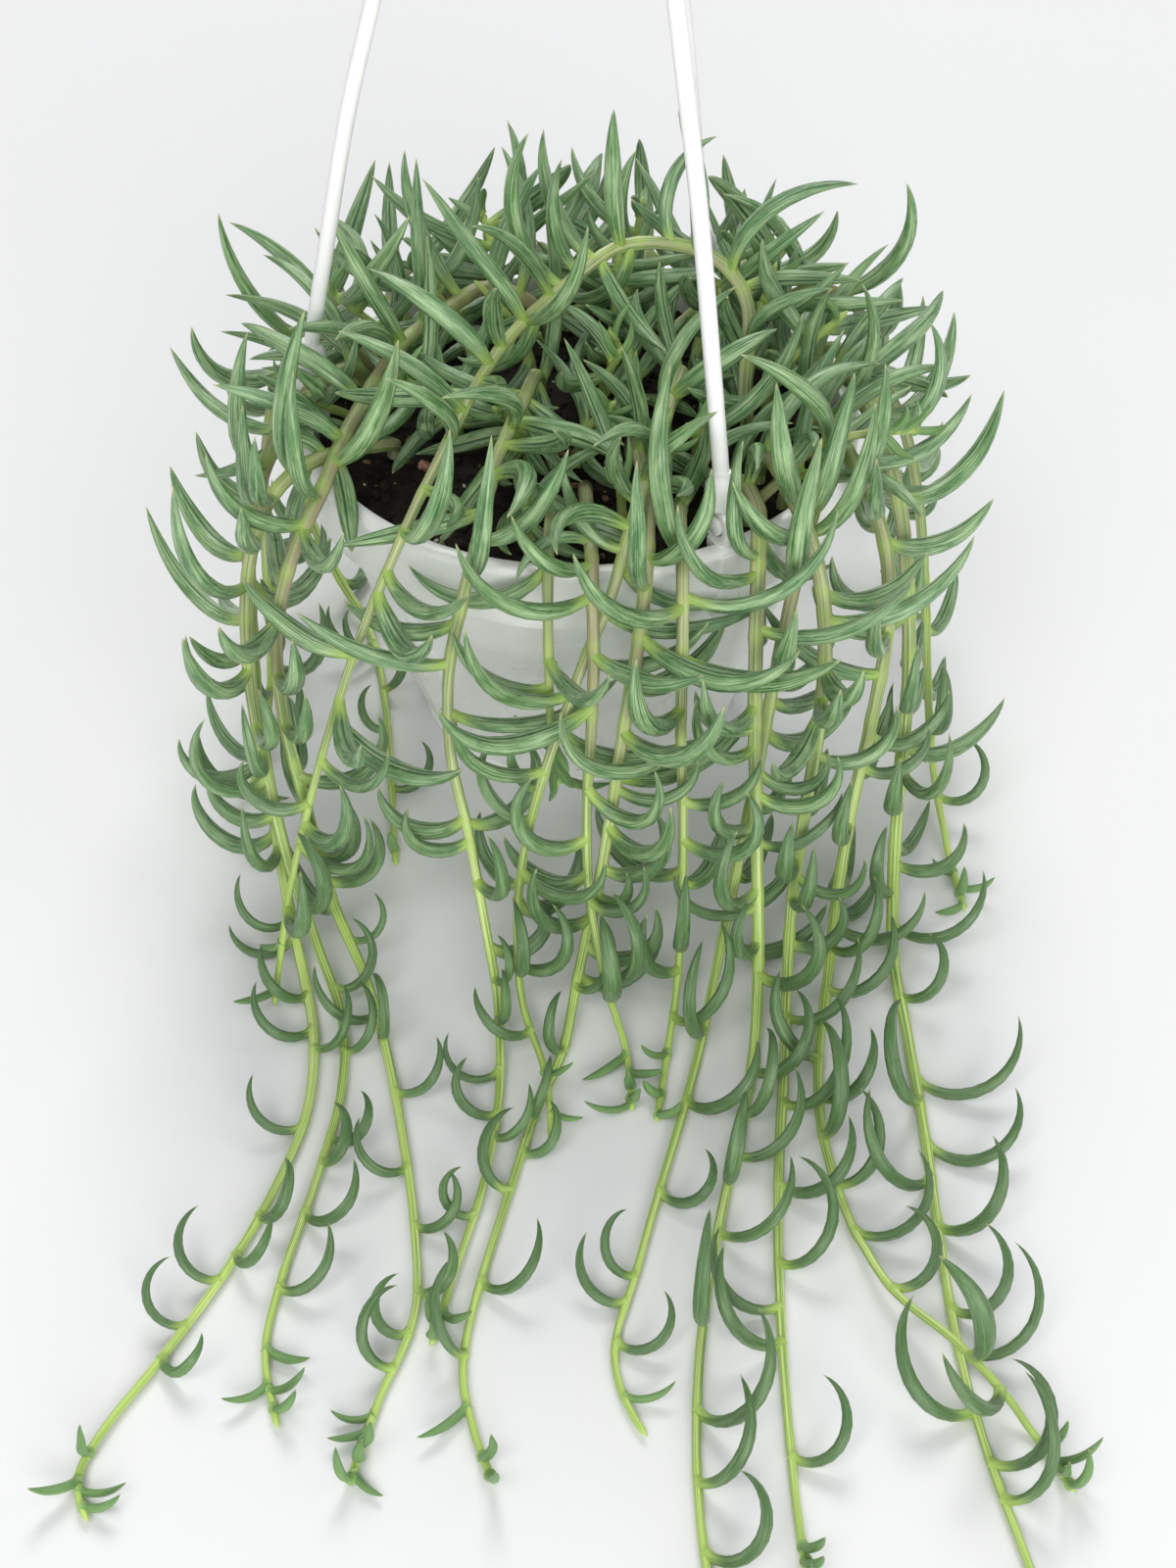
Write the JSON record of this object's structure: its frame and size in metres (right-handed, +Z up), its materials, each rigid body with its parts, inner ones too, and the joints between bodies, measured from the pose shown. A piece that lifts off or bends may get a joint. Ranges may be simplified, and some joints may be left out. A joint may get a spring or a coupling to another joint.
{
  "type": "potted string of fishhooks",
  "caption": "Trailing succulent with hook-shaped leaves in a white hanging pot that stands on its base, its long stems spilling over the rim and lying along the surface.",
  "frame": {"origin": "centre of the pot's flat base, on the surface that it stands on", "axes": "+Z up along the pot's axis; -Y is the front, the way the long stems run out; +X to the right seen from the front"},
  "size_m": [0.2393, 0.5051, 0.4103],
  "materials": {
    "pot_plastic": "glossy off-white moulded plastic",
    "hanger_plastic": "smooth white flexible plastic",
    "soil": "dark crumbly potting soil with light bits",
    "plant": "waxy blue-green succulent skin with pale lime stems",
    "dry_stub": "dry pinkish-brown stem"
  },
  "bodies": {
    "root": {"dry_stub": "dry_stub", "hanger_arm_back": "hanger_plastic", "hanger_arm_front": "hanger_plastic", "hanger_arm_left": "hanger_plastic", "hanger_hook": "hanger_plastic", "pot": "pot_plastic", "shoot_01": "plant", "shoot_02": "plant", "shoot_03": "plant", "shoot_04": "plant", "shoot_05": "plant", "shoot_06": "plant", "shoot_07": "plant", "shoot_08": "plant", "shoot_09": "plant", "shoot_10": "plant", "shoot_11": "plant", "shoot_12": "plant", "shoot_13": "plant", "shoot_14": "plant", "shoot_15": "plant", "shoot_16": "plant", "shoot_17": "plant", "shoot_18": "plant", "shoot_19": "plant", "shoot_20": "plant", "shoot_21": "plant", "shoot_22": "plant", "shoot_23": "plant", "shoot_side": "plant", "soil": "soil", "stem_arch": "plant", "stem_back": "plant", "stem_back_left": "plant", "stem_back_right": "plant", "stem_back_short": "plant", "stem_centre_right": "plant", "stem_front": "plant", "stem_front_left": "plant", "stem_left_arch": "plant", "stem_left_outer": "plant", "stem_left_rear": "plant", "stem_middle": "plant", "stem_purple": "plant", "stem_right_front": "plant", "stem_right_inner": "plant", "stem_right_middle": "plant", "stem_right_outer": "plant", "stem_right_rear": "plant", "stem_right_side": "plant", "stem_right_sweep": "plant", "stem_short_hang": "plant", "stem_stub_hang": "plant", "stem_under_left": "plant"}
  },
  "joints": []
}
